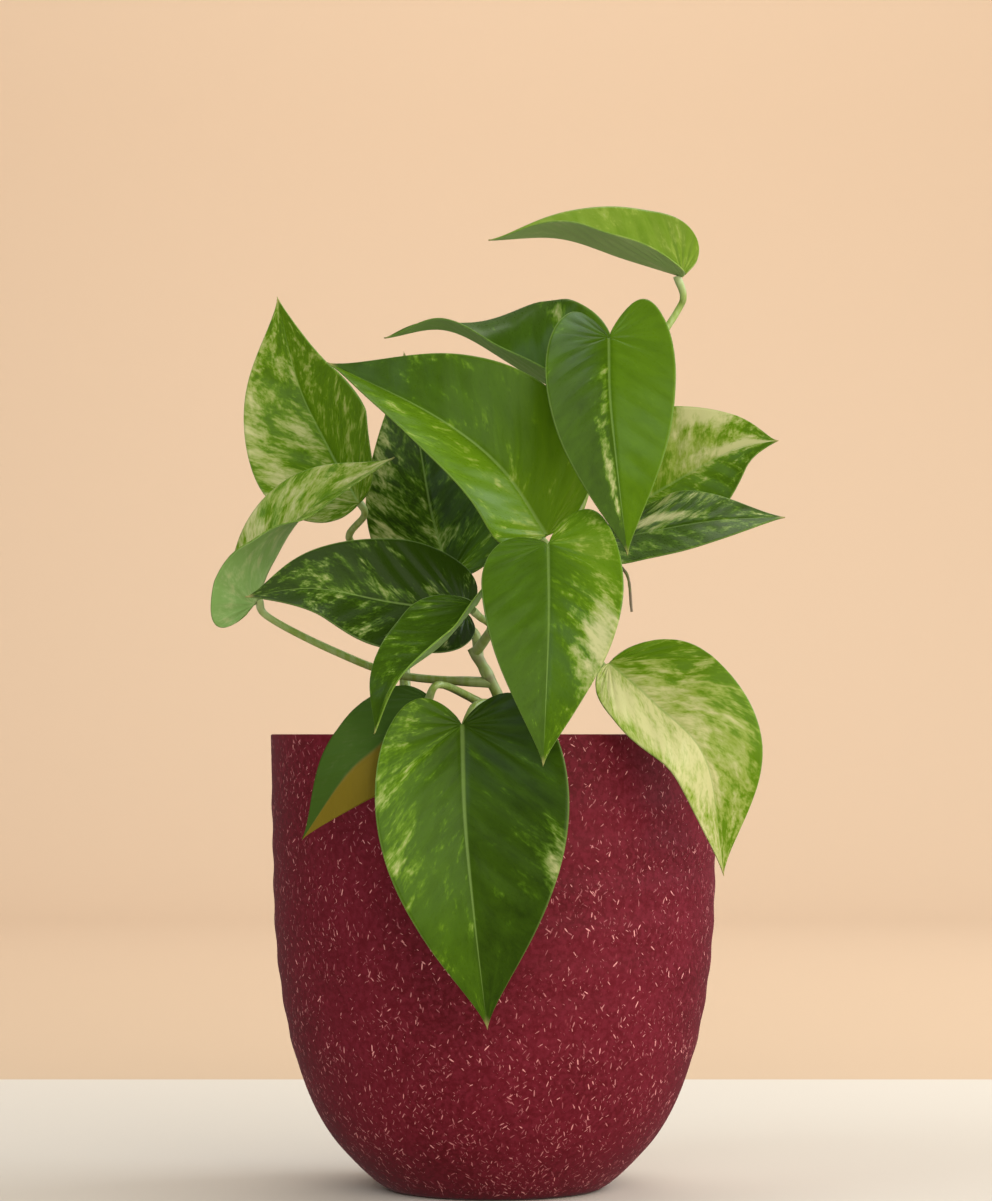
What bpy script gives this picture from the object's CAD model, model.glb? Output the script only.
"""Looks of the potted golden pothos: a ringed planter, its soil, three vines and fifteen leaves."""

import math
import random

import bmesh
import bpy
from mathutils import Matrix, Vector


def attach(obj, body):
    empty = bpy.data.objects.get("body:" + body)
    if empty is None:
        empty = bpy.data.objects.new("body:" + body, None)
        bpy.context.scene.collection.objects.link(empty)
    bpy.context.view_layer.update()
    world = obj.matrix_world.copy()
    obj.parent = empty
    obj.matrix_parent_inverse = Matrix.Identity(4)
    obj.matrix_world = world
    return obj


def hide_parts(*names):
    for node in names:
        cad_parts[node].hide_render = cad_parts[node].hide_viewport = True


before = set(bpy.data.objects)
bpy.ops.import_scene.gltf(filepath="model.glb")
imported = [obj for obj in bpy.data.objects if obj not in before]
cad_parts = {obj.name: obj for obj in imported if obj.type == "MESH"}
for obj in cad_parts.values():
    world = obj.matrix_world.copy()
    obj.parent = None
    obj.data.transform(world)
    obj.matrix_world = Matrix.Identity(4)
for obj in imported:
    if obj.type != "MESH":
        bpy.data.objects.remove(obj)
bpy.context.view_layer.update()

# Pot. A planter pressed from dyed plant-fibre composite, nearly straight at its flat-cut rim and round
# towards a small base, with shallow rings left by turning its mould. Pale slivers of husk show all over
# its surface.

MM = 0.001
POT_HEIGHT = 151 * MM
RIM_RADIUS = 75 * MM
RIM_EASE = 0.5 * MM
BELLY_RADIUS = 73.8 * MM
BELLY_HEIGHT = 105 * MM
BASE_RADIUS = 36 * MM
FOOT_HEIGHT = 14 * MM
BODY_ROUNDNESS = 3.9
FOOT_ROUNDNESS = 0.8
WALL = 4.5 * MM
RING_PITCH = 13.1 * MM
RING_HEIGHT = 0.34 * MM
RINGS_LOW = 42 * MM
RINGS = 7
POT_SIDES = 192
POT_ROW = 1.6 * MM
ROW_CROWDING = 1.02
FOOT_ROWS = (0.9 * MM, 0.35 * MM)
BASE_MIDDLE = 18 * MM
INNER_FLOOR = 8 * MM
INNER_MIDDLE = 20 * MM

POT_RED = (0.138, 0.0060, 0.0145, 1)
POT_BRIGHT = (0.215, 0.018, 0.036, 1)
POT_DEEP = (0.104, 0.0040, 0.0090, 1)
HUSK_PALE = (0.90, 0.36, 0.35, 1)
HUSK_RED = (0.30, 0.048, 0.064, 1)

HUSKS_PER_AREA = 400000
HUSK_LENGTH = 2.6 * MM
HUSK_WIDTH = 0.46 * MM
HUSK_HEIGHT = 0.06 * MM
HUSK_CLUSTERS = 75
FEWEST_HUSKS = 0.35
MOST_HUSKS = 1.65
SHORTEST_HUSK = 0.2
HUSK_STRAY = math.radians(2)
HUSK_LEAN = 1.1
LENGTH_RARITY = 2.0
PALE_RARITY = 2.6
SKIN_SIDES = 96


def outer_radius(height):
    """Radius of the pot's smooth outside at this height."""
    if height >= BELLY_HEIGHT:
        straight = POT_HEIGHT - BELLY_HEIGHT
        return BELLY_RADIUS + (RIM_RADIUS - BELLY_RADIUS) * (height - BELLY_HEIGHT) / straight
    if height >= FOOT_HEIGHT:
        drop = (BELLY_HEIGHT - height) / BELLY_HEIGHT
        return BELLY_RADIUS * (1 - drop ** 2) ** (1 / BODY_ROUNDNESS)
    foot_top = outer_radius(FOOT_HEIGHT)
    return BASE_RADIUS + (foot_top - BASE_RADIUS) * (height / FOOT_HEIGHT) ** FOOT_ROUNDNESS


def ringed_radius(height):
    """Radius of the outside with its shallow turned rings."""
    turns = (height - RINGS_LOW) / RING_PITCH
    if not 0 < turns < RINGS:
        return outer_radius(height)
    return outer_radius(height) + RING_HEIGHT * (1 - math.cos(turns * math.tau)) / 2


def new_material(name):
    """Material and its node tree."""
    result = bpy.data.materials.new(name)
    result.use_nodes = True
    return result, result.node_tree


def feed(tree, node, inputs):
    """Gives each input of the node, found by its name or number, a value or a link from a socket."""
    for key, value in inputs.items():
        if isinstance(value, bpy.types.NodeSocket):
            tree.links.new(value, node.inputs[key])
        else:
            node.inputs[key].default_value = value


def add_node(tree, kind, inputs=None, **settings):
    """Node with these settings and inputs."""
    node = tree.nodes.new(kind)
    for key, value in settings.items():
        setattr(node, key, value)
    feed(tree, node, inputs or {})
    return node


def own_place(tree):
    """Place on the object in its own coordinates."""
    return add_node(tree, "ShaderNodeTexCoord").outputs["Object"]


def squeezed(tree, place, share):
    """Coordinates squeezed along the height, so that what they carry is drawn out upwards."""
    return add_node(tree, "ShaderNodeMapping", {"Vector": place, "Scale": (1, 1, share)}).outputs["Vector"]


def noted(tree, label):
    """Value noted on the mesh under this label."""
    return add_node(tree, "ShaderNodeAttribute", attribute_name=label).outputs["Fac"]


def noise(tree, place, scale, detail=3.0, roughness=0.5, distortion=0.0):
    """Noise at these coordinates, from about 0.25 to 0.75."""
    inputs = {"Scale": scale, "Detail": detail, "Roughness": roughness, "Distortion": distortion}
    return add_node(tree, "ShaderNodeTexNoise", {"Vector": place, **inputs}).outputs["Fac"]


def maths(tree, operation, *values, clamp=False):
    """One sum of values, each a socket or a number."""
    inputs = dict(enumerate(values))
    return add_node(tree, "ShaderNodeMath", inputs, operation=operation, use_clamp=clamp).outputs[0]


def between(tree, value, low, high):
    """How far a value lies between low and high, eased, from 0 to 1."""
    inputs = {"Value": value, "From Min": low, "From Max": high}
    return add_node(tree, "ShaderNodeMapRange", inputs, interpolation_type="SMOOTHSTEP").outputs["Result"]


def mixed(tree, share, first, second):
    """Two colours mixed by a share; each is a socket or a colour."""
    return add_node(tree, "ShaderNodeMix", {0: share, 6: first, 7: second}, data_type="RGBA").outputs[2]


def bumped(tree, height, strength, distance):
    """Normal of a surface with this relief."""
    inputs = {"Height": height, "Strength": strength, "Distance": distance}
    return add_node(tree, "ShaderNodeBump", inputs).outputs["Normal"]


def finished(material, color, roughness, relief=None, shine=0.5):
    """The material with its shader's colour, roughness, relief and shine."""
    tree = material.node_tree
    shader = tree.nodes["Principled BSDF"]
    feed(tree, shader, {"Base Color": color, "Roughness": roughness, "Specular IOR Level": shine})
    if relief:
        tree.links.new(relief, shader.inputs["Normal"])
    return material


def shown(name, data):
    """Object in the scene that shows the data."""
    result = bpy.data.objects.new(name, data)
    bpy.context.scene.collection.objects.link(result)
    return result


def applied(carrier):
    """Mesh that the modifiers of an object make, which takes the object away."""
    bpy.context.view_layer.update()
    graph = bpy.context.evaluated_depsgraph_get()
    mesh = bpy.data.meshes.new_from_object(carrier.evaluated_get(graph))
    bpy.data.objects.remove(carrier)
    return mesh


def mesh_object(name, mesh, finish):
    """Object at the origin that shows the mesh in its finish, smooth shaded."""
    result = shown(name, mesh)
    for material in finish:
        mesh.materials.append(material)
    mesh.polygons.foreach_set("use_smooth", [True] * len(mesh.polygons))
    return result


def turned_mesh(name, profile, sides):
    """Closed mesh of revolution about Z, from points that start and end on the axis and run with the wall's
    outside on their right."""
    mesh = bmesh.new()
    rings = []
    for radius, height in profile:
        if radius == 0:
            rings.append([mesh.verts.new((0, 0, height))])
            continue
        turns = [math.tau * i / sides for i in range(sides)]
        rings.append([mesh.verts.new((radius * math.cos(t), radius * math.sin(t), height)) for t in turns])
    for lower, upper in zip(rings, rings[1:]):
        for i in range(sides):
            corners = [lower[i % len(lower)], lower[(i + 1) % len(lower)]]
            corners += [upper[(i + 1) % len(upper)], upper[i % len(upper)]]
            mesh.faces.new(list(dict.fromkeys(corners)))
    bmesh.ops.recalc_face_normals(mesh, faces=mesh.faces)
    result = bpy.data.meshes.new(name)
    mesh.to_mesh(result)
    mesh.free()
    return result


def composite_material():
    """Dyed fibre composite: cloudy burgundy with a fine fleck of ground husk and a dull, grained skin."""
    result, tree = new_material("pot_composite")
    place = own_place(tree)
    cloud = between(tree, noise(tree, place, 34, 4, 0.6), 0.3, 0.7)
    grain = between(tree, noise(tree, place, 620, 3, 0.6), 0.35, 0.68)
    color = mixed(tree, cloud, POT_DEEP, POT_RED)
    color = mixed(tree, maths(tree, "MULTIPLY", grain, 0.55), color, POT_BRIGHT)
    speck = add_node(tree, "ShaderNodeTexVoronoi", {"Vector": squeezed(tree, place, 0.42), "Scale": 520})
    near = between(tree, speck.outputs["Distance"], 0.24, 0.10)
    rare = between(tree, noise(tree, place, 240, 2), 0.52, 0.62)
    dust = maths(tree, "MULTIPLY", near, rare)
    color = mixed(tree, maths(tree, "MULTIPLY", dust, 0.5), color, HUSK_RED)
    rough = maths(tree, "MULTIPLY_ADD", grain, 0.12, 0.47)
    relief = bumped(tree, maths(tree, "ADD", grain, maths(tree, "MULTIPLY", dust, 0.6)), 0.12, 0.0001)
    return finished(result, color, rough, relief, 0.12)


def husk_material():
    """Slivers of husk that lie in the skin, from pinkish white to a red hardly paler than the pot."""
    result, tree = new_material("husk_sliver")
    color = mixed(tree, noted(tree, "pale"), HUSK_RED, HUSK_PALE)
    return finished(result, color, 0.5)


def sliver_mesh():
    """One flat sliver, one unit long, pointed at both ends and a little raised along its middle."""
    half = 0.5 * HUSK_WIDTH / HUSK_LENGTH
    lift = HUSK_HEIGHT / HUSK_LENGTH
    corners = [(-0.5, 0, 0), (-0.25, half, 0), (0.3, half * 0.9, 0)]
    corners += [(0.5, 0, 0), (0.25, -half, 0), (-0.3, -half * 0.9, 0)]
    mesh = bpy.data.meshes.new("sliver")
    middle = len(corners)
    faces = [(i, middle, (i + 1) % middle) for i in range(middle)]
    mesh.from_pydata(corners + [(0, 0, lift)], [], [tuple(reversed(face)) for face in faces])
    return mesh


def grower(name, inputs, output):
    """Geometry tree with inputs of these kinds and one output, and the node that gives the inputs."""
    tree = bpy.data.node_groups.new(name, "GeometryNodeTree")
    for label, kind in inputs.items():
        tree.interface.new_socket(label, in_out="INPUT", socket_type="NodeSocket" + kind)
    tree.interface.new_socket(output, in_out="OUTPUT", socket_type="NodeSocketGeometry")
    return tree, add_node(tree, "NodeGroupInput")


def drawn(tree, low, high, seed=0):
    """Number drawn by chance between low and high for each point, or a vector where they are vectors."""
    if isinstance(low, tuple):
        inputs = {0: low, 1: high, "Seed": seed}
        return add_node(tree, "FunctionNodeRandomValue", inputs, data_type="FLOAT_VECTOR").outputs[0]
    inputs = {2: low, 3: high, "Seed": seed}
    return add_node(tree, "FunctionNodeRandomValue", inputs, data_type="FLOAT").outputs[1]


def strewn(tree, surface, density, seed):
    """Points strewn over a surface, and the way the surface looks at each."""
    inputs = {"Mesh": surface, "Density": density, "Seed": seed}
    strew = add_node(tree, "GeometryNodeDistributePointsOnFaces", inputs)
    return strew.outputs["Points"], strew.outputs["Normal"]


def placed(tree, points, thing, rotation, scale):
    """Copy of the thing at each point."""
    shape = add_node(tree, "GeometryNodeObjectInfo", {"Object": thing}).outputs["Geometry"]
    inputs = {"Points": points, "Instance": shape, "Rotation": rotation, "Scale": scale}
    return add_node(tree, "GeometryNodeInstanceOnPoints", inputs).outputs["Instances"]


def finish_tree(tree, geometry, material, output):
    """Realises the instances, gives them their material and puts them out."""
    real = add_node(tree, "GeometryNodeRealizeInstances", {"Geometry": geometry}).outputs["Geometry"]
    coat = add_node(tree, "GeometryNodeSetMaterial", {"Geometry": real, "Material": material})
    add_node(tree, "NodeGroupOutput", {output: coat.outputs["Geometry"]})


def husk_tree(sliver, material):
    """Slivers strewn over a round surface in loose clusters, lying flat, mostly upright and of many sizes."""
    kinds = {"Surface": "Geometry", "Per Area": "Float", "Length": "Float", "Seed": "Int"}
    tree, start = grower("husk slivers", kinds, "Slivers")
    place = add_node(tree, "GeometryNodeInputPosition").outputs["Position"]
    shares = {"From Min": 0.35, "From Max": 0.65, "To Min": FEWEST_HUSKS, "To Max": MOST_HUSKS}
    crowd = add_node(tree, "ShaderNodeMapRange", {"Value": noise(tree, place, HUSK_CLUSTERS, 2), **shares})
    density = maths(tree, "MULTIPLY", crowd.outputs["Result"], start.outputs["Per Area"])
    points, normal = strewn(tree, start.outputs["Surface"], density, start.outputs["Seed"])
    stray = {"Vector": place, "Angle": drawn(tree, -HUSK_STRAY, HUSK_STRAY, 11)}
    around = add_node(tree, "ShaderNodeVectorRotate", stray, rotation_type="Z_AXIS")
    shifted = {"Geometry": points, "Position": around.outputs["Vector"]}
    moved = add_node(tree, "GeometryNodeSetPosition", shifted).outputs["Geometry"]
    flat = add_node(tree, "FunctionNodeAlignRotationToVector", {"Vector": normal}, axis="Z")
    up = {"Vector": (0, 0, 1), "Rotation": flat.outputs["Rotation"]}
    upright = add_node(tree, "FunctionNodeAlignRotationToVector", up, axis="X", pivot_axis="Z")
    lean = drawn(tree, (0, 0, -HUSK_LEAN), (0, 0, HUSK_LEAN), 3)
    leaning = {"Rotation": upright.outputs["Rotation"], "Rotate By": lean}
    turn = add_node(tree, "FunctionNodeRotateRotation", leaning, rotation_space="LOCAL").outputs["Rotation"]
    few_long = maths(tree, "POWER", drawn(tree, 0.0, 1.0, 5), LENGTH_RARITY)
    size = maths(tree, "MULTIPLY_ADD", few_long, 1 - SHORTEST_HUSK, SHORTEST_HUSK)
    scale = maths(tree, "MULTIPLY", size, start.outputs["Length"])
    slivers = placed(tree, moved, sliver, turn, scale)
    few_pale = maths(tree, "POWER", drawn(tree, 0.0, 1.0, 8), PALE_RARITY)
    labelled = {"Geometry": slivers, "Name": "pale", "Value": few_pale}
    note = add_node(tree, "GeometryNodeStoreNamedAttribute", labelled, data_type="FLOAT", domain="INSTANCE")
    finish_tree(tree, note.outputs["Geometry"], material, "Slivers")
    return tree


def grown(name, base, tree, values):
    """Plain mesh object made by running the tree on the base object."""
    carrier = shown(name + "_base", base)
    modifier = carrier.modifiers.new("grow", "NODES")
    modifier.node_group = tree
    for item in tree.interface.items_tree:
        if item.in_out == "INPUT" and item.name in values:
            modifier[item.identifier] = values[item.name]
    mesh = applied(carrier)
    mesh.name = name
    return shown(name, mesh)


def build_pot():
    """The planter itself, from the middle of its inner floor over the rim to the middle of its base."""
    rows = int(round((POT_HEIGHT - INNER_FLOOR) / (4 * POT_ROW)))
    heights = [INNER_FLOOR + (POT_HEIGHT - RIM_EASE - INNER_FLOOR) * i / rows for i in range(rows + 1)]
    inside = [(outer_radius(height) - WALL, height) for height in heights]
    rim_inner = outer_radius(POT_HEIGHT) - WALL
    rim = [(rim_inner + RIM_EASE * 0.3, POT_HEIGHT - RIM_EASE * 0.3), (rim_inner + RIM_EASE, POT_HEIGHT)]
    rim += [(RIM_RADIUS - RIM_EASE, POT_HEIGHT), (RIM_RADIUS - RIM_EASE * 0.3, POT_HEIGHT - RIM_EASE * 0.3)]
    rows = int(round(POT_HEIGHT / POT_ROW))
    heights = [(POT_HEIGHT - RIM_EASE) * (1 - (i / rows) ** ROW_CROWDING) for i in range(rows)]
    outside = [(ringed_radius(height), height) for height in heights]
    foot = [(ringed_radius(height), height) for height in FOOT_ROWS]
    profile = [(0, INNER_FLOOR), (INNER_MIDDLE, INNER_FLOOR)] + inside + rim + outside + foot
    profile += [(BASE_RADIUS, 0), (BASE_MIDDLE, 0), (0, 0)]
    return turned_mesh("pot_body", profile, POT_SIDES)


def without_faces(mesh, unwanted):
    """The mesh once the faces that the test picks are taken away."""
    work = bmesh.new()
    work.from_mesh(mesh)
    bmesh.ops.delete(work, geom=[face for face in work.faces if unwanted(face)], context="FACES")
    work.to_mesh(mesh)
    work.free()
    return mesh


def build_skin():
    """The outside of the pot alone, without its top and base, for the husks to lie on."""
    rows = range(1, round(POT_HEIGHT / MM))
    profile = [(0, MM)] + [(ringed_radius(row * MM), row * MM) for row in rows] + [(0, POT_HEIGHT)]
    return without_faces(turned_mesh("pot_skin", profile, SKIN_SIDES), lambda face: abs(face.normal.z) > 0.98)


pot = mesh_object("pot_body", build_pot(), [composite_material()])
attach(pot, "root")
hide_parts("pot")

sliver = bpy.data.objects.new("sliver", sliver_mesh())
husks = grown("pot_husks", build_skin(), husk_tree(sliver, husk_material()),
              {"Per Area": HUSKS_PER_AREA, "Length": HUSK_LENGTH, "Seed": 4})
bpy.data.objects.remove(sliver)
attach(husks, "root")

# Soil. Dark potting mix that fills the pot to a finger's width under the rim, a little heaped in the middle,
# with crumbs of peat and bark and a few white grains of perlite on top.

SOIL_LEVEL = 138 * MM
SOIL_MOUND = 4 * MM
CLEARANCE = 0.3 * MM
SOIL_SIDES = 96
SOIL_ROWS = 34
SOIL_ROUGH = 1.1 * MM
SOIL_SIDE_HEIGHTS = (138, 105, 66, 40, 24, 14, 9)
CRUMB_MARGIN = 4 * MM
SMALLEST_CRUMB = 0.3
CRUMBS_PER_AREA = 170000
CRUMB_SIZE = 2.6 * MM
PERLITE_PER_AREA = 3600
PERLITE_SIZE = 2.4 * MM

SOIL_DARK = (0.020, 0.012, 0.008, 1)
SOIL_BROWN = (0.075, 0.045, 0.027, 1)
PERLITE_WHITE = (0.70, 0.68, 0.62, 1)
PERLITE_GREY = (0.42, 0.38, 0.31, 1)


def soil_material():
    """Damp peat and bark, from near black to brown, rough and crumbly."""
    result, tree = new_material("potting_soil")
    place = own_place(tree)
    lump = between(tree, noise(tree, place, 160, 5, 0.7), 0.35, 0.68)
    color = mixed(tree, lump, SOIL_DARK, SOIL_BROWN)
    relief = bumped(tree, maths(tree, "ADD", lump, noise(tree, place, 900, 4, 0.7)), 0.6, 0.0008)
    return finished(result, color, 0.95, relief)


def perlite_material():
    """Puffed white mineral grains, dusty and pitted."""
    result, tree = new_material("perlite")
    pits = noise(tree, own_place(tree), 1400, 3, 0.6)
    color = mixed(tree, between(tree, pits, 0.4, 0.65), PERLITE_GREY, PERLITE_WHITE)
    return finished(result, color, 0.9, bumped(tree, pits, 0.5, 0.0003))


def crumb_mesh(seed):
    """One rough crumb about a unit across."""
    chance = random.Random(seed)
    mesh = bmesh.new()
    bmesh.ops.create_icosphere(mesh, subdivisions=1, radius=0.5)
    for vertex in mesh.verts:
        vertex.co *= 0.72 + 0.5 * chance.random()
    bmesh.ops.scale(mesh, vec=(1.0, 0.75, 0.6), verts=mesh.verts)
    result = bpy.data.meshes.new("crumb")
    mesh.to_mesh(result)
    mesh.free()
    return result


def crumb_tree(crumb, material, name):
    """Crumbs strewn over the soil, turned every way and of many sizes."""
    kinds = {"Ground": "Geometry", "Per Area": "Float", "Size": "Float", "Seed": "Int"}
    tree, start = grower(name, kinds, "Crumbs")
    points, _ = strewn(tree, start.outputs["Ground"], start.outputs["Per Area"], start.outputs["Seed"])
    size = maths(tree, "MULTIPLY", drawn(tree, SMALLEST_CRUMB, 1.0, 2), start.outputs["Size"])
    pieces = placed(tree, points, crumb, drawn(tree, (-3, -3, -3), (3, 3, 3)), size)
    finish_tree(tree, pieces, material, "Crumbs")
    return tree


def build_soil():
    """The body of the soil, with an uneven top."""
    chance = random.Random(12)
    inner = [(outer_radius(height * MM) - WALL - CLEARANCE, height * MM) for height in SOIL_SIDE_HEIGHTS]
    edge = inner[0][0]
    top = []
    for i in range(SOIL_ROWS):
        radius = edge * i / SOIL_ROWS
        top.append((radius, SOIL_LEVEL + SOIL_MOUND * (1 - (radius / edge) ** 2)))
    profile = top + inner + [(0, INNER_FLOOR + CLEARANCE)]
    mesh = turned_mesh("soil_body", profile, SOIL_SIDES)
    for vertex in mesh.vertices:
        reach = math.hypot(vertex.co.x, vertex.co.y)
        if vertex.co.z > SOIL_LEVEL - MM and reach < edge - MM:
            vertex.co.z += SOIL_ROUGH * (chance.random() - 0.5)
    return mesh


soil_finish = soil_material()
soil = mesh_object("soil_body", build_soil(), [soil_finish])
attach(soil, "root")
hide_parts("soil")


def soil_top():
    """The top of the soil alone, a little inside its edge, for the crumbs to lie on."""
    kept = RIM_RADIUS - WALL - CRUMB_MARGIN

    def unwanted(face):
        middle = face.calc_center_median()
        return middle.z < SOIL_LEVEL - MM or middle.xy.length > kept

    return without_faces(soil.data.copy(), unwanted)


crumb = bpy.data.objects.new("crumb", crumb_mesh(5))
grain = bpy.data.objects.new("grain", crumb_mesh(9))
crumbs = grown("soil_crumbs", soil_top(), crumb_tree(crumb, soil_finish, "peat crumbs"),
               {"Per Area": CRUMBS_PER_AREA, "Size": CRUMB_SIZE, "Seed": 21})
perlite = grown("soil_perlite", soil_top(), crumb_tree(grain, perlite_material(), "perlite grains"),
                {"Per Area": PERLITE_PER_AREA, "Size": PERLITE_SIZE, "Seed": 6})
for piece, shape in ((crumbs, crumb), (perlite, grain)):
    bpy.data.objects.remove(shape)
    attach(piece, "root")

# Vines. Three smooth green stems that rise from the soil. At each node a petiole leaves the stem out of a
# short sheath, and it thickens into a knee under its leaf. One thin brown aerial root hangs from a node.

VINE_RADII = (2.3 * MM, 1.6 * MM)
PETIOLE_RADII = (1.45 * MM, 1.1 * MM)
ROOT_RADII = (0.75 * MM, 0.4 * MM)
SINK = 26 * MM
STEM_STEP = 1.2 * MM
PETIOLE_REACH = 7 * MM
PETIOLE_DROP = 0.75 * MM
STEM_SIDES = 14
NODE_SWELL = 0.22
KNEE_SWELL = 0.22
KNEE_LENGTH = 6 * MM
SHEATH_LENGTH = 11 * MM
SHEATH_SWELL = 0.35
SHEATH_EASE = 1.2 * MM
SHEATH_EDGE = 0.8 * MM
KNEE_PLACE = 1.5 * MM
NODE_LENGTH = 2.2 * MM
SCAR_PLACE = 2.4 * MM
SCAR_WIDTH = 0.7 * MM
RIB_START = 0.03

STEM_GREEN = (0.245, 0.345, 0.045, 1)
STEM_PALE = (0.47, 0.56, 0.27, 1)
STEM_BROWN = (0.26, 0.195, 0.135, 1)

# Each leaf: its rib from the blade's base to its tip, the way the face looks at base and tip, and for each
# half its width, how far its lobe reaches back as a share of the blade's length, and its folds in degrees
# from base to tip. Lengths are in millimetres.
LEAVES = {
    "leaf_top": dict(
        rib=((63, -14, 304), (44, -6, 311), (22, 2, 319), (-2, 8, 319)),
        face=((0, -0.36, 0.93), (0, -0.36, 0.93)),
        left=(22, 0.05, (42, 32, 20)), right=(20, 0.05, (38, 38, 38)),
    ),
    "leaf_crown": dict(
        rib=((37, -52, 279), (37, -66, 258), (39, -76, 234), (42, -80, 207)),
        face=((0, -1, 0.2), (0, -1, 0.1)),
        left=(24, 0.10, (36, 28, 22)), right=(24, 0.17, (36, 28, 22)),
    ),
    "leaf_broad": dict(
        rib=((17, -52, 215), (2, -64, 236), (-20, -65, 253), (-54, -52, 271)),
        face=((0.1, -1, 0.25), (0, -1, 0.3)),
        left=(30, 0.03, (5, 8, 10)), right=(28, -0.03, (34, 46, 50)),
    ),
    "leaf_arched": dict(
        rib=((35, -34, 256), (10, -24, 271), (-15, -12, 286), (-37, -6, 284)),
        face=((0, -0.46, 0.89), (0, -0.46, 0.89)),
        left=(28.5, 0.02, (-30, 52, 34, -10, 30)), right=(21, 0.05, (42, 42, 42)),
    ),
    "leaf_tall_left": dict(
        rib=((-45, -15, 228), (-55, -6, 246), (-66, -2, 269), (-73, -6, 298)),
        face=((0, -1, 0.1), (0, -1, 0.1)),
        left=(26, 0.04, (58, 50, 42)), right=(27, 0.06, (10, 6, 5)),
    ),
    "leaf_hooked": dict(
        rib=((-77.5, -48, 193), (-72, -44, 207), (-60, -44, 224), (-32, -56, 240)),
        face=((-0.8, -0.6, 0.1), (-0.4, -0.3, 0.85)),
        left=(18, 0.22, (96, 24, 0)), right=(18, 0.00, (10, 24, 30)),
    ),
    "leaf_reaching_left": dict(
        rib=((-9, -58, 190), (-33, -66, 193), (-57, -74, 197), (-78, -84, 194)),
        face=((0, -1, 0.5), (0, -1, 0.4)),
        left=(21.5, 0.08, (10, 10, 10)), right=(22, 0.05, (20, 20, 20)),
    ),
    "leaf_slender": dict(
        rib=((-6, -72, 192), (-17, -84, 179), (-31, -98, 167), (-37, -100, 151)),
        face=((-0.3, -1, 0.5), (-0.3, -1, 0.3)),
        left=(16, 0.00, (24, 6, 2)), right=(16, 0.20, (62, 62, 54)),
    ),
    "leaf_centre": dict(
        rib=((17, -76, 211), (17, -94, 188), (16, -105, 163), (15, -107, 141)),
        face=((0, -1, 0.4), (0, -1, 0.2)),
        left=(22, 0.03, (20, 17, 15)), right=(24, 0.19, (18, 16, 15)),
    ),
    "leaf_apron": dict(
        rib=((-10, -86, 154), (-9, -98, 125), (-6, -103, 94), (-2, -98, 60)),
        face=((0, -1, 0.1), (0, -1, 0)),
        left=(28, 0.12, (14, 12, 10)), right=(33, 0.13, (12, 10, 8)),
    ),
    "leaf_right_drape": dict(
        rib=((37, -54, 174), (51, -62, 161), (67, -68, 143), (73, -64, 106)),
        face=((0.2, -1, 0.3), (0.3, -1, 0.2)),
        left=(19, 0.00, (26, 22, 20)), right=(24, 0.00, (12, 11, 10)),
    ),
    "leaf_right_upper": dict(
        rib=((47, 4, 228), (66, 0, 239), (82, -6, 247), (95, -12, 249)),
        face=((0.1, -1, 0.3), (0.3, -1, 0.3)),
        left=(20, 0.03, (12, 12, 12)), right=(26, 0.03, (10, 8, 5)),
    ),
    "leaf_right_lower": dict(
        rib=((34, -28, 214), (51, -40, 217), (71, -48, 220), (94, -50, 221)),
        face=((0, -0.56, 0.83), (0, -0.56, 0.83)),
        left=(24, 0.06, (4, 4, 4)), right=(23, 0.06, (4, 4, 4)),
    ),
    "leaf_backing": dict(
        rib=((-15, -14, 204), (-21, 0, 225), (-25, 10, 247), (-31, 16, 282)),
        face=((0, -1, 0.1), (0, -1, 0)),
        left=(25, 0.06, (10, 10, 10)), right=(22, 0.06, (2, 5, 8)),
    ),
    "leaf_left_drape": dict(
        rib=((-20, -73, 162), (-35, -86, 148), (-46, -89, 138), (-60, -84, 118)),
        face=((0.1, 1, -0.2), (0.2, 1, -0.2)),
        left=(15, 0.00, (5, 5, 5)), right=(15, 0.03, (5, 5, 5)),
    ),
}

# Each vine: its route from just above the soil to its end, and for each leaf that it carries where the
# petiole leaves the vine, as a fraction of the route, and the points that the petiole passes. An aerial
# root starts the same way and ends at its last point. Lengths are in millimetres.
VINES = {
    "vine_front": dict(
        route=((6, -44, 144), (5, -46, 152), (1, -49, 164), (-7, -50, 179)),
        petioles={
            "leaf_slender": (0.96, ((-1, -60, 185),)),
            "leaf_reaching_left": (0.92, ((-6, -48, 183),)),
            "leaf_hooked": (0.75, ((-30, -48, 170), (-52, -48, 178))),
            "leaf_left_drape": (0.45, ((-8, -54, 163),)),
            "leaf_apron": (0.30, ((0, -62, 160), (-6, -74, 160))),
        },
        roots=(),
    ),
    "vine_right": dict(
        route=((20, -24, 144), (17, -28, 162), (18, -34, 190), (27, -35, 222), (33, -31, 240)),
        petioles={
            "leaf_right_drape": (0.30, ((27, -40, 182),)),
            "leaf_centre": (0.50, ((19, -50, 204),)),
            "leaf_right_lower": (0.54, ((27, -25, 202),)),
            "leaf_broad": (0.58, ((21, -40, 207),)),
            "leaf_right_upper": (0.65, ((33, -14, 214),)),
            "leaf_top": (0.94, ((44, -24, 256), (50, -18, 274), (61, -10, 292))),
            "leaf_arched": (0.97, ((37, -31, 244),)),
            "leaf_crown": (1.00, ((41, -42, 258), (40, -42, 273))),
        },
        roots=((0.56, ((34, -32, 207), (43, -34, 204), (45, -35, 191))),),
    ),
    "vine_left": dict(
        route=((-28, -10, 144), (-30, 0, 168), (-30, 10, 195)),
        petioles={
            "leaf_backing": (0.90, ((-20, 2, 198),)),
            "leaf_tall_left": (1.00, ((-38, 13, 208), (-49, 5, 217))),
        },
        roots=(),
    ),
}


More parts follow.
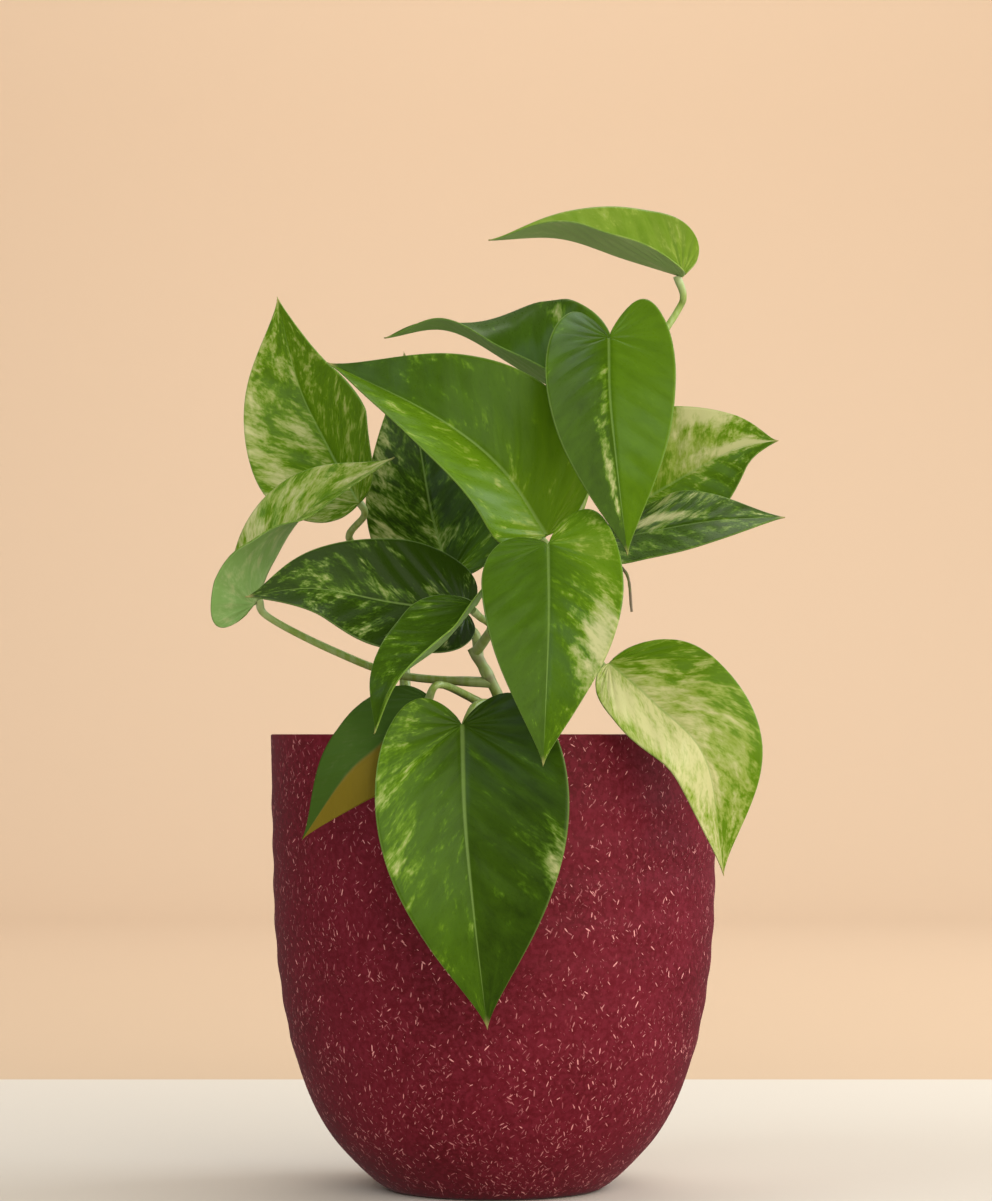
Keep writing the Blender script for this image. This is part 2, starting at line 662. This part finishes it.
def catmull(points, fraction):
    """Point at this fraction of a smooth open curve that passes through all the points."""
    spans = len(points) - 1
    place = min(max(fraction, 0.0), 1.0) * spans
    span = min(int(place), spans - 1)
    t = place - span
    first, second = points[span], points[span + 1]
    before = points[span - 1] if span > 0 else [2 * a - b for a, b in zip(first, second)]
    after = points[span + 2] if span + 2 <= spans else [2 * b - a for a, b in zip(first, second)]
    return tuple(
        0.5 * (2 * b + (c - a) * t + (2 * a - 5 * b + 4 * c - d) * t * t + (3 * b - a - 3 * c + d) * t ** 3)
        for a, b, c, d in zip(before, first, second, after)
    )


class Midrib:
    """The rib of one leaf as a curve, with the frame of the blade at any distance along it."""

    SAMPLES = 48

    def __init__(self, leaf):
        self.points = [Vector(catmull(leaf["rib"], i / self.SAMPLES)) * MM for i in range(self.SAMPLES + 1)]
        self.reach = [0.0]
        for a, b in zip(self.points, self.points[1:]):
            self.reach.append(self.reach[-1] + (b - a).length)
        self.length = self.reach[-1]
        self.faces = [Vector(face).normalized() for face in leaf["face"]]

    def frame(self, along):
        """Point on the rib, the way it runs, the way the face looks, and the way the right half spreads."""
        inside = min(max(along, 0.0), self.length)
        i = 0
        while i < self.SAMPLES - 1 and self.reach[i + 1] < inside:
            i += 1
        share = (inside - self.reach[i]) / (self.reach[i + 1] - self.reach[i])
        point = self.points[i].lerp(self.points[i + 1], share)
        starts = self.tangent(i)
        run = starts.lerp(self.tangent(i + 1), share).normalized()
        point = point + run * (along - inside)
        face = self.faces[0].lerp(self.faces[1], inside / self.length)
        face = (face - run * face.dot(run)).normalized()
        return point, run, face, face.cross(run)

    def tangent(self, i):
        """The way the rib runs at one of its samples."""
        before = self.points[max(i - 1, 0)]
        after = self.points[min(i + 1, self.SAMPLES)]
        return (after - before).normalized()


def swell(distance, place, width):
    """Bell-shaped bulge, 1 at its place and gone about two widths away."""
    return math.exp(-((distance - place) / width) ** 2)


def smooth_route(points):
    """Points in metres along a smooth curve through these millimetre points, about a stem step apart."""
    length = sum(math.dist(a, b) for a, b in zip(points, points[1:])) * MM
    steps = max(8, round(length / STEM_STEP))
    return [Vector(catmull(points, i / steps)) * MM for i in range(steps + 1)]


def petiole_route(vine, leaf, start, passed):
    """Route of a petiole: out of the middle of the vine and up against the rib from below the blade."""
    rib = Midrib(leaf)
    point, run, face, _ = rib.frame(rib.length * RIB_START)
    end = point - face * PETIOLE_DROP
    before = end - (face * 0.85 + run * 0.5).normalized() * PETIOLE_REACH
    points = [catmull(vine["route"], start)] + list(passed) + [tuple(before / MM), tuple(end / MM)]
    return smooth_route(points)


def reaches(route):
    """Distance from the start of a route to each of its points."""
    result = [0.0]
    for a, b in zip(route, route[1:]):
        result.append(result[-1] + (b - a).length)
    return result


def vine_stem(vine):
    """The vine's own points, each with its radius, how brown it is and how pale, swollen at its nodes."""
    route = smooth_route(vine["route"])
    foot = Vector((route[0].x, route[0].y, SOIL_LEVEL - SINK))
    route = [foot] + route
    distances = reaches(route)
    whole = distances[-1]
    first = distances[1]
    starts = [first + start * (whole - first) for start, _ in vine["petioles"].values()]
    result = []
    for point, distance in zip(route, distances):
        share = distance / whole
        radius = VINE_RADII[0] + (VINE_RADII[1] - VINE_RADII[0]) * share
        near = max([swell(distance, place, NODE_LENGTH) for place in starts] + [0.0])
        scar = max([swell(distance, place - SCAR_PLACE, SCAR_WIDTH) for place in starts] + [0.0])
        result.append((point, radius * (1 + NODE_SWELL * near), 0.75 * scar, 0.35 * near))
    return result


def petiole_stem(vine, leaf, start, passed):
    """A petiole's points: it leaves in a wider sheath, narrows, and thickens into a knee under the blade."""
    route = petiole_route(vine, leaf, start, passed)
    distances = reaches(route)
    whole = distances[-1]
    result = []
    for point, distance in zip(route, distances):
        share = distance / whole
        radius = PETIOLE_RADII[0] + (PETIOLE_RADII[1] - PETIOLE_RADII[0]) * share
        sheath = 1 / (1 + math.exp((distance - SHEATH_LENGTH) / SHEATH_EASE))
        knee = swell(distance, whole - KNEE_PLACE, KNEE_LENGTH * 0.6)
        edge = swell(distance, SHEATH_LENGTH, SHEATH_EDGE)
        radius *= 1 + SHEATH_SWELL * sheath * 0.6 + KNEE_SWELL * knee
        result.append((point, radius, 0.45 * edge, 0.25 * sheath + 0.6 * knee))
    return result


def root_stem(vine, start, passed):
    """The aerial root's points, brown and a little knobbly."""
    route = smooth_route([catmull(vine["route"], start), *passed])
    chance = random.Random(3)
    last = len(route) - 1
    result = []
    for i, point in enumerate(route):
        radius = ROOT_RADII[0] + (ROOT_RADII[1] - ROOT_RADII[0]) * i / last
        result.append((point, radius * (0.9 + 0.25 * chance.random()), 0.9, 0.0))
    return result


def stems_mesh(name, stems):
    """Bare lines along all the stems of one vine, with what the tree needs noted on their points."""
    points = []
    edges = []
    notes = []
    for stem in stems:
        edges += [(len(points) + i, len(points) + i + 1) for i in range(len(stem) - 1)]
        points += [tuple(point) for point, _, _, _ in stem]
        notes += [values for _, *values in stem]
    mesh = bpy.data.meshes.new(name)
    mesh.from_pydata(points, edges, [])
    for column, label in enumerate(("thickness", "brown", "pale")):
        attribute = mesh.attributes.new(label, "FLOAT", "POINT")
        attribute.data.foreach_set("value", [row[column] for row in notes])
    return mesh


def stem_tree(material):
    """Round stems along the lines, as thick as each point says, with closed ends."""
    tree, start = grower("stems along lines", {"Lines": "Geometry", "Sides": "Int"}, "Stems")
    line = add_node(tree, "GeometryNodeMeshToCurve", {"Mesh": start.outputs["Lines"]}).outputs["Curve"]
    thickness = add_node(tree, "GeometryNodeInputNamedAttribute", {"Name": "thickness"}, data_type="FLOAT")
    thickness = thickness.outputs["Attribute"]
    circle = {"Resolution": start.outputs["Sides"], "Radius": 1.0}
    section = add_node(tree, "GeometryNodeCurvePrimitiveCircle", circle).outputs["Curve"]
    swept = {"Curve": line, "Profile Curve": section, "Fill Caps": True, "Scale": thickness}
    sweep = add_node(tree, "GeometryNodeCurveToMesh", swept)
    smooth = add_node(tree, "GeometryNodeSetShadeSmooth", {"Geometry": sweep.outputs["Mesh"]})
    finish_tree(tree, smooth.outputs["Geometry"], material, "Stems")
    return tree


def stem_material():
    """Smooth waxy stem: green, lightly streaked with a paler green, pale at the knees and brown at scars."""
    result, tree = new_material("stem_green")
    streak = between(tree, noise(tree, squeezed(tree, own_place(tree), 0.25), 520, 3, 0.5), 0.35, 0.65)
    brown = noted(tree, "brown")
    paler = maths(tree, "ADD", maths(tree, "MULTIPLY", streak, 0.4), noted(tree, "pale"), clamp=True)
    color = mixed(tree, paler, STEM_GREEN, STEM_PALE)
    scarred = maths(tree, "MULTIPLY", brown, maths(tree, "ADD", streak, 0.4), clamp=True)
    color = mixed(tree, scarred, color, STEM_BROWN)
    rough = maths(tree, "MULTIPLY_ADD", brown, 0.35, 0.38)
    return finished(result, color, rough, bumped(tree, streak, 0.2, 0.0001))


stems_along = stem_tree(stem_material())
for vine_name, vine in VINES.items():
    stems = [vine_stem(vine)]
    for leaf_name, (start, passed) in vine["petioles"].items():
        stems.append(petiole_stem(vine, LEAVES[leaf_name], start, passed))
    for start, passed in vine["roots"]:
        stems.append(root_stem(vine, start, passed))
    stem = grown(vine_name + "_stems", stems_mesh(vine_name, stems), stems_along, {"Sides": STEM_SIDES})
    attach(stem, "root")
    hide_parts(vine_name)

# Leaves. Heart-shaped blades folded along a sunken midrib, glossy above and dull and paler below. Their
# veins leave the rib at a slant, and cream and lime marks follow the veins, some leaves having many and
# some few.

WIDEST = 0.28
WIDEST_STATION = 0.4
LOBE_TURN = 0.8
TIP_TAPER = 1.4
VEIN_LEAN = 0.30
LEAN_LOSS = 2.2
LEAST_LEAN = 0.03
FIRST_STATION = 0.02
BLADE_THICKNESS = 0.45 * MM
BLADE_STATIONS = 96
BLADE_STRIPS = 26
RIB_DEPTH = 0.45 * MM
RIB_WIDTH = 0.8 * MM
VEINS = 13
VEIN_DEPTH = 0.30 * MM
MARGIN_WAVE = 0.5 * MM

GREEN_DEEP = (0.020, 0.044, 0.0018, 1)
GREEN_MID = (0.058, 0.125, 0.0045, 1)
GREEN_LIME = (0.115, 0.225, 0.0060, 1)
GREEN_YELLOW = (0.250, 0.340, 0.0450, 1)
CREAM = (0.580, 0.560, 0.270, 1)
UNDER_GREEN = (0.160, 0.320, 0.065, 1)
UNDER_PALE = (0.300, 0.420, 0.160, 1)
UNDER_OLIVE = (0.022, 0.048, 0.0005, 1)
UNDER_RUST = (0.165, 0.085, 0.0005, 1)
MARGIN_PALE = (0.240, 0.360, 0.090, 1)
TIP_STRAW = (0.450, 0.380, 0.150, 1)

# For each leaf: the tone of its left and right half, from 0, deep green, over 1, mid green, and 2, lime,
# to 3, yellow green, and how many cream streaks each half has. A half below 0 is as deep above, and olive
# to rust below. Then the places that are lighter in tone and those that are cream, each with its place
# across the blade and along the margin, its half sizes and its strength.
MARKS = {
    "leaf_top": dict(tone=(2.5, 2.3), streaks=(0.0, 0.0), light=(), cream=()),
    "leaf_crown": dict(
        tone=(0.55, 1.8), streaks=(-0.35, -0.35), light=((-0.1, 0.35, 0.15, 0.3, 0.3),),
        cream=((-0.10, 0.58, 0.07, 0.10, 0.6), (-0.26, 0.80, 0.16, 0.15, 1.0)),
    ),
    "leaf_broad": dict(
        tone=(0.5, 1.15), streaks=(-0.10, 0.06),
        light=((-0.45, 0.22, 0.9, 0.30, 1.6), (0.35, 0.62, 0.6, 0.25, 0.4)),
        cream=((-0.30, 0.08, 0.28, 0.05, 0.35),),
    ),
    "leaf_arched": dict(
        tone=(0.7, 1.2), streaks=(-0.15, 0.0), light=((-0.6, 0.3, 0.4, 0.1, 0.5),),
        cream=((-0.85, 0.50, 0.14, 0.04, 0.7),),
    ),
    "leaf_tall_left": dict(
        tone=(1.6, 1.2), streaks=(0.20, 0.42), light=((0.6, 0.5, 0.7, 0.5, 0.3),),
        cream=((0.8, 0.45, 0.3, 0.2, 0.16), (0.3, 0.28, 0.35, 0.1, 0.2)),
    ),
    "leaf_hooked": dict(
        tone=(1.1, 1.2), streaks=(0.30, 0.46), light=((0.4, 0.8, 0.8, 0.3, 0.9),),
        cream=((0.5, 0.45, 0.5, 0.14, 0.3), (0.3, 0.92, 1.0, 0.08, 0.3)),
    ),
    "leaf_reaching_left": dict(
        tone=(-0.4, -0.5), streaks=(0.05, 0.06), light=((0.0, 0.78, 1.0, 0.2, 0.7),),
        cream=((0.0, 0.80, 0.8, 0.16, 0.24), (0.5, 0.3, 0.3, 0.1, 0.25)),
    ),
    "leaf_slender": dict(tone=(0.5, 1.9), streaks=(0.03, 0.05), light=(), cream=()),
    "leaf_centre": dict(
        tone=(0.75, 1.2), streaks=(-0.25, 0.05),
        light=((0.6, 0.10, 0.7, 0.14, 0.7), (0.4, 0.30, 0.5, 0.07, 0.6), (0.75, 0.42, 0.3, 0.12, 0.8)),
        cream=((0.84, 0.64, 0.26, 0.10, 1.0), (0.75, 0.42, 0.25, 0.08, 0.2)),
    ),
    "leaf_apron": dict(
        tone=(0.45, 0.2), streaks=(-0.02, -0.2),
        light=((-0.8, 0.3, 0.4, 0.4, 0.6), (-0.4, 0.8, 0.6, 0.2, 0.3)),
        cream=((-0.88, 0.42, 0.20, 0.22, 0.46), (0.97, 0.60, 0.10, 0.06, 0.8), (0.80, 0.58, 0.2, 0.06, 0.45)),
    ),
    "leaf_right_drape": dict(
        tone=(2.0, 1.4), streaks=(0.52, 0.14), light=((0.3, 0.1, 1.2, 0.14, 0.5), (0.4, 0.75, 0.7, 0.3, 0.8)),
        cream=((-0.45, 0.5, 0.6, 0.35, 0.5), (0.35, 0.75, 0.5, 0.25, 0.4)),
    ),
    "leaf_right_upper": dict(
        tone=(1.2, 1.3), streaks=(0.12, 0.12), light=((0.38, 0.66, 0.5, 0.22, 1.0),),
        cream=((1.0, 0.70, 0.22, 0.09, 1.4), (0.12, 0.91, 0.16, 0.16, 1.3), (0.38, 0.66, 0.3, 0.18, 0.4)),
    ),
    "leaf_right_lower": dict(
        tone=(0.6, 0.55), streaks=(0.14, 0.20), light=(),
        cream=((0.38, 0.57, 0.12, 0.12, 1.1), (0.8, 0.5, 0.2, 0.2, 0.3)),
    ),
    "leaf_backing": dict(
        tone=(0.2, 0.2), streaks=(0.12, 0.24), light=((-0.5, 0.2, 0.4, 0.15, 1.0),),
        cream=((0.5, 0.34, 0.4, 0.14, 0.35), (0.9, 0.55, 0.15, 0.2, 0.4)),
    ),
    "leaf_left_drape": dict(tone=(-0.6, 0.0), streaks=(0.02, 0.02), light=(), cream=()),
}


def margin(station, lobe):
    """Margin of one half, as fractions of the blade's length and of that half's width."""
    if station < WIDEST_STATION:
        turn = station / WIDEST_STATION
        along = WIDEST * (1 - math.cos(turn * math.pi / 2)) - lobe * math.sin(turn ** LOBE_TURN * math.pi)
        return along, math.sin(turn * math.pi / 2)
    ahead = (station - WIDEST_STATION) / (1 - WIDEST_STATION)
    return WIDEST + (1 - WIDEST) * ahead, max(1 - ahead ** 2, 0.0) ** TIP_TAPER


def vein_root(leaf, station):
    """Where the vein of this station leaves the rib. A half cut away at its base has steeper veins."""
    total = 0.0
    for half in ("left", "right"):
        lobe = leaf[half][1]
        lean = max(LEAST_LEAN, VEIN_LEAN + LEAN_LOSS * min(lobe, 0.0))
        along, across = margin(station, lobe)
        most = WIDEST - lean if station < WIDEST_STATION else 1.0
        total += max(0.0, min(along - lean * across, most))
    return total / 2


def blade_point(leaf, rib, root, station, across):
    """Point of the blade, from the vein's root on the rib towards the margin."""
    outward_sign = 1 if across > 0 else -1
    width, lobe, folds = leaf["right" if across > 0 else "left"]
    margin_along, margin_across = margin(station, lobe)
    share = abs(across)
    along = root + (margin_along - root) * share
    point, run, face, side = rib.frame(along * rib.length)
    raised = math.radians(catmull([(fold,) for fold in folds], along)[0])
    spread = margin_across * share * width * MM
    point = point + (side * outward_sign * math.cos(raised) + face * math.sin(raised)) * spread
    return point, spread


def relief(station, across, spread, phase):
    """How far the blade stands off its plain form: sunk along rib and veins, and waved at its margin."""
    rib_line = math.exp(-(spread / RIB_WIDTH) ** 2)
    vein_line = 0.5 + 0.5 * math.cos(station * VEINS * math.tau)
    quilt = vein_line * min(1.0, spread / (6 * MM)) * (1 - abs(across) ** 4)
    wave = math.sin(station * 21 + phase) * abs(across) ** 3 * MARGIN_WAVE
    return -RIB_DEPTH * rib_line * (1 - station ** 3) - VEIN_DEPTH * quilt + wave * (1 - station)


def patched(patches, across, station):
    """Sum of soft oval patches at this point of the blade."""
    total = 0.0
    for place, height, half_width, half_height, strength in patches:
        gap = ((across - place) / half_width) ** 2 + ((station - height) / half_height) ** 2
        total += strength * math.exp(-gap * 0.7)
    return total


def mark_fields(marks, across, station):
    """Tone and cream of the blade at one point, eased over the rib from half to half."""
    right = 0.5 + 0.5 * math.tanh(across * 12)
    tone, streaks = (low + (high - low) * right for low, high in (marks["tone"], marks["streaks"]))
    return tone + patched(marks["light"], across, station), streaks + patched(marks["cream"], across, station)


def build_blade(name, leaf, marks, seed):
    """One blade: a fine grid from the notch to the tip, with its relief, and with its marks noted on it."""
    rib = Midrib(leaf)
    grid = bmesh.new()
    bmesh.ops.create_grid(grid, x_segments=BLADE_STATIONS, y_segments=2 * BLADE_STRIPS, size=1)
    layers = {key: grid.verts.layers.float.new(key) for key in ("tone", "cream", "lift", "seed")}
    places = grid.loops.layers.uv.new("blade")
    grid_uv = {}
    roots = {}
    for vertex in grid.verts:
        row = round(vertex.co.x, 5)
        station = FIRST_STATION + (1 - FIRST_STATION) * (vertex.co.x + 1) / 2
        across = vertex.co.y
        if row not in roots:
            roots[row] = vein_root(leaf, station)
        point, spread = blade_point(leaf, rib, roots[row], station, across)
        vertex.co = point
        vertex[layers["tone"]], vertex[layers["cream"]] = mark_fields(marks, across, station)
        vertex[layers["lift"]] = relief(station, across, spread, seed * 1.7)
        vertex[layers["seed"]] = seed
        grid_uv[vertex.index] = (0.5 + across / 2, station)
    for face in grid.faces:
        for loop in face.loops:
            loop[places].uv = grid_uv[loop.vert.index]
    bmesh.ops.remove_doubles(grid, verts=grid.verts, dist=1e-6)
    grid.normal_update()
    for vertex in grid.verts:
        vertex.co += vertex.normal * vertex[layers["lift"]]
    mesh = bpy.data.meshes.new(name)
    grid.to_mesh(mesh)
    grid.free()
    return mesh


def vein_group():
    """Marks along the veins. It puts out the blade's tone, how cream it is, its veins and a fine fleck."""
    tree = bpy.data.node_groups.new("marks along veins", "ShaderNodeTree")
    for name in ("Across", "Station", "Seed", "Tone", "Cream"):
        tree.interface.new_socket(name, in_out="INPUT", socket_type="NodeSocketFloat")
    for name in ("Tone", "Cream Mask", "Vein Mask", "Fine"):
        tree.interface.new_socket(name, in_out="OUTPUT", socket_type="NodeSocketFloat")
    start = add_node(tree, "NodeGroupInput")

    def along_veins(across_scale, station_scale, shift):
        across = maths(tree, "MULTIPLY", start.outputs["Across"], across_scale)
        station = maths(tree, "MULTIPLY", start.outputs["Station"], station_scale)
        own = maths(tree, "ADD", maths(tree, "MULTIPLY", start.outputs["Seed"], 3.7), shift)
        return add_node(tree, "ShaderNodeCombineXYZ", {0: across, 1: station, 2: own}).outputs[0]

    def centred(value, strength):
        return maths(tree, "MULTIPLY", maths(tree, "SUBTRACT", value, 0.5), strength)

    streak = noise(tree, along_veins(4.0, 46, 0.0), 1.0, 4, 0.62, 0.5)
    cloud = noise(tree, along_veins(2.6, 12, 5.0), 1.0, 4, 0.6, 0.5)
    fleck = noise(tree, along_veins(16, 120, 9.0), 1.0, 2, 0.5)
    other = noise(tree, along_veins(2.2, 30, 14.0), 1.0, 4, 0.6, 0.6)
    marks = maths(tree, "ADD", centred(streak, 0.75), centred(cloud, 1.05))
    marks = maths(tree, "ADD", marks, centred(fleck, 0.30))
    marks = maths(tree, "ADD", marks, maths(tree, "MULTIPLY", start.outputs["Cream"], 0.5))
    tone = maths(tree, "ADD", start.outputs["Tone"], centred(other, 0.9))
    tone = maths(tree, "ADD", tone, centred(cloud, 0.7))
    fringe = maths(tree, "MULTIPLY", between(tree, marks, 0.04, 0.30), 1.2)
    wave = maths(tree, "COSINE", maths(tree, "MULTIPLY", start.outputs["Station"], VEINS * math.tau))
    add_node(tree, "NodeGroupOutput", {
        "Tone": maths(tree, "ADD", tone, fringe),
        "Cream Mask": between(tree, marks, 0.16, 0.62),
        "Vein Mask": between(tree, wave, 0.6, 1.0),
        "Fine": fleck,
    })
    return tree


def marks_of(tree, group):
    """The group of marks, fed with what the blade says, and the distances from its rib and its base."""
    spot = add_node(tree, "ShaderNodeUVMap", uv_map="blade")
    parts = add_node(tree, "ShaderNodeSeparateXYZ", {0: spot.outputs["UV"]})
    across = maths(tree, "MULTIPLY", maths(tree, "SUBTRACT", parts.outputs[0], 0.5), 2.0)
    inputs = {"Across": across, "Station": parts.outputs[1]}
    inputs.update({label: noted(tree, label.lower()) for label in ("Seed", "Cream", "Tone")})
    node = add_node(tree, "ShaderNodeGroup", node_tree=group)
    feed(tree, node, inputs)
    return node, maths(tree, "ABSOLUTE", across), parts.outputs[1]


def toned(tree, tone):
    """Green of this tone, from deep to yellow green."""
    color = mixed(tree, maths(tree, "ADD", tone, 0.0, clamp=True), GREEN_DEEP, GREEN_MID)
    color = mixed(tree, maths(tree, "SUBTRACT", tone, 1.0, clamp=True), color, GREEN_LIME)
    return mixed(tree, maths(tree, "SUBTRACT", tone, 2.0, clamp=True), color, GREEN_YELLOW)


def upper_material(group):
    """Glossy upper face: deep to yellow green, with cream marks along the veins, a pale rib and margin."""
    result, tree = new_material("leaf_green")
    node, outward, station = marks_of(tree, group)
    color = toned(tree, node.outputs["Tone"])
    color = mixed(tree, maths(tree, "MULTIPLY", node.outputs["Cream Mask"], 0.92), color, CREAM)
    edge = maths(tree, "MULTIPLY", between(tree, outward, 0.978, 0.998), 0.35)
    color = mixed(tree, edge, color, MARGIN_PALE)
    midline = maths(tree, "MULTIPLY", between(tree, outward, 0.035, 0.008), 0.45)
    color = mixed(tree, midline, color, MARGIN_PALE)
    tip = maths(tree, "MULTIPLY", between(tree, station, 0.965, 0.995), 0.6)
    color = mixed(tree, tip, color, TIP_STRAW)
    rough = maths(tree, "MULTIPLY_ADD", node.outputs["Fine"], 0.14, 0.22)
    sunken = maths(tree, "MULTIPLY", node.outputs["Vein Mask"], -0.5)
    height = maths(tree, "ADD", maths(tree, "MULTIPLY", node.outputs["Fine"], 0.5), sunken)
    return finished(result, color, rough, bumped(tree, height, 0.12, 0.0003), 0.08)


def under_material(group):
    """Dull underside: paler and greyer, the marks showing through faintly, the rib pale. A half whose tone is
    0 or less is olive, and rust where it is well below 0."""
    result, tree = new_material("leaf_underside")
    node, outward, _ = marks_of(tree, group)
    tone = node.outputs["Tone"]
    color = mixed(tree, maths(tree, "MULTIPLY", tone, 0.3, clamp=True), UNDER_GREEN, UNDER_PALE)
    color = mixed(tree, maths(tree, "MULTIPLY", node.outputs["Cream Mask"], 0.5), color, CREAM)
    ridge = maths(tree, "MULTIPLY", between(tree, outward, 0.09, 0.02), 0.5)
    color = mixed(tree, ridge, color, UNDER_PALE)
    aged = noted(tree, "tone")
    old = mixed(tree, between(tree, aged, -0.1, -0.5), UNDER_OLIVE, UNDER_RUST)
    color = mixed(tree, maths(tree, "MULTIPLY", between(tree, aged, 0.12, 0.0), 0.85), color, old)
    height = maths(tree, "ADD", maths(tree, "MULTIPLY", node.outputs["Fine"], 0.4), node.outputs["Vein Mask"])
    return finished(result, color, 0.55, bumped(tree, height, 0.2, 0.0003), 0.06)


marks_along_veins = vein_group()
leaf_finish = [upper_material(marks_along_veins), under_material(marks_along_veins)]
for number, (leaf_name, leaf) in enumerate(LEAVES.items()):
    sheet = build_blade(leaf_name, leaf, MARKS[leaf_name], number + 1.0)
    blank = mesh_object(leaf_name + "_blank", sheet, leaf_finish)
    thickness = blank.modifiers.new("thickness", "SOLIDIFY")
    thickness.thickness = BLADE_THICKNESS
    thickness.offset = 0
    thickness.material_offset = 1
    blade = shown(leaf_name + "_blade", applied(blank))
    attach(blade, "root")
    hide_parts(leaf_name)

# Studio. A plain pale sweep, warm like the light in the picture, a large soft lamp at the upper right,
# cooler ones at the left and behind on the right, and the camera level with the rim.

FLOOR_PALE = (0.660, 0.600, 0.520, 1)
WALL_LOW = (0.600, 0.440, 0.300, 1)
WALL_PEACH = (0.676, 0.505, 0.354, 1)
TABLE_END = 0.37
JOIN_WIDTH = 0.004
WALL_FADE = (0.7, 1.9)
SWEEP_FRONT = -3.0
SWEEP_START = 1.7
SWEEP_BEND = 0.8
SWEEP_STEPS = 16
SWEEP_HALF_WIDTH = 4
SWEEP_DROP = 0.0004
WALL_TOP = 3.5
ROOM_WARM = (1.0, 0.94, 0.87, 1)
ROOM_STRENGTH = 0.24
CAMERA_PLACE = (0.0006, -1.2, 0.151)
CAMERA_AIM = (0.0006, 0, 0.196)
CAMERA_LENS = 106.9
SENSOR_WIDTH = 36

# Each lamp: its place, the point that it looks at, its size, its power and its colour.
LAMPS = {
    "window_right": ((1.6, -1.3, 0.9), (0, 0, 0.18), 2.6, 42, (1.0, 0.95, 0.86)),
    "sky_left": ((-1.1, -0.9, 1.3), (0, 0, 0.2), 0.9, 9, (0.78, 0.92, 1.0)),
    "sky_right": ((1.7, 0.5, 1.2), (0, 0, 0.15), 1.2, 25, (0.84, 0.93, 1.0)),
    "front": ((0.3, -2.4, 1.2), (0, 0, 0.15), 1.8, 24, (1.0, 0.96, 0.90)),
    "top_back": ((0.3, 0.6, 1.6), (0, 0, 0.2), 1.2, 5, (1.0, 0.97, 0.92)),
    "wall_wash": ((0, 0.9, 1.9), (0, 2.4, 0.6), 1.6, 26, (1.0, 0.97, 0.95)),
}


def sweep_paper():
    """Plain matt paper, pale where the pot stands and peach behind, with a straight join."""
    result, tree = new_material("sweep_paper")
    back = add_node(tree, "ShaderNodeSeparateXYZ", {0: own_place(tree)}).outputs[1]
    wall = mixed(tree, between(tree, back, *WALL_FADE), WALL_LOW, WALL_PEACH)
    color = mixed(tree, between(tree, back, TABLE_END, TABLE_END + JOIN_WIDTH), FLOOR_PALE, wall)
    return finished(result, color, 0.9, shine=0.1)


def build_sweep():
    """Floor that bends up into a backdrop."""
    line = [(SWEEP_FRONT, 0.0), (SWEEP_START, 0.0)]
    for i in range(1, SWEEP_STEPS + 1):
        turn = i * math.pi / 2 / SWEEP_STEPS
        line.append((SWEEP_START + SWEEP_BEND * math.sin(turn), SWEEP_BEND * (1 - math.cos(turn))))
    line.append((SWEEP_START + SWEEP_BEND, WALL_TOP))
    points = [(x, y, z - SWEEP_DROP) for y, z in line for x in (-SWEEP_HALF_WIDTH, SWEEP_HALF_WIDTH)]
    faces = [(2 * i, 2 * i + 1, 2 * i + 3, 2 * i + 2) for i in range(len(line) - 1)]
    mesh = bpy.data.meshes.new("sweep")
    mesh.from_pydata(points, [], faces)
    return mesh_object("sweep", mesh, [sweep_paper()])


def looking(name, data, place, aim):
    """Lamp or camera at its place that looks at a point."""
    result = shown(name, data)
    result.location = place
    result.rotation_euler = (Vector(aim) - Vector(place)).to_track_quat("-Z", "Y").to_euler()
    return result


def soft_lamp(name, place, aim, size, power, color):
    """Square soft lamp that looks at a point."""
    lamp = bpy.data.lights.new(name, "AREA")
    lamp.size = size
    lamp.energy = power
    lamp.color = color
    looking(name, lamp, place, aim)


sweep = build_sweep()
sweep.visible_glossy = False
for lamp_name, lamp_settings in LAMPS.items():
    soft_lamp(lamp_name, *lamp_settings)
world = bpy.data.worlds.new("room")
world.use_nodes = True
room = world.node_tree.nodes["Background"]
feed(world.node_tree, room, {"Color": ROOM_WARM, "Strength": ROOM_STRENGTH})
bpy.context.scene.world = world
bpy.context.scene.view_settings.view_transform = "Standard"

camera_data = bpy.data.cameras.new("camera")
camera_data.lens = CAMERA_LENS
camera_data.sensor_width = SENSOR_WIDTH
bpy.context.scene.camera = looking("camera", camera_data, CAMERA_PLACE, CAMERA_AIM)
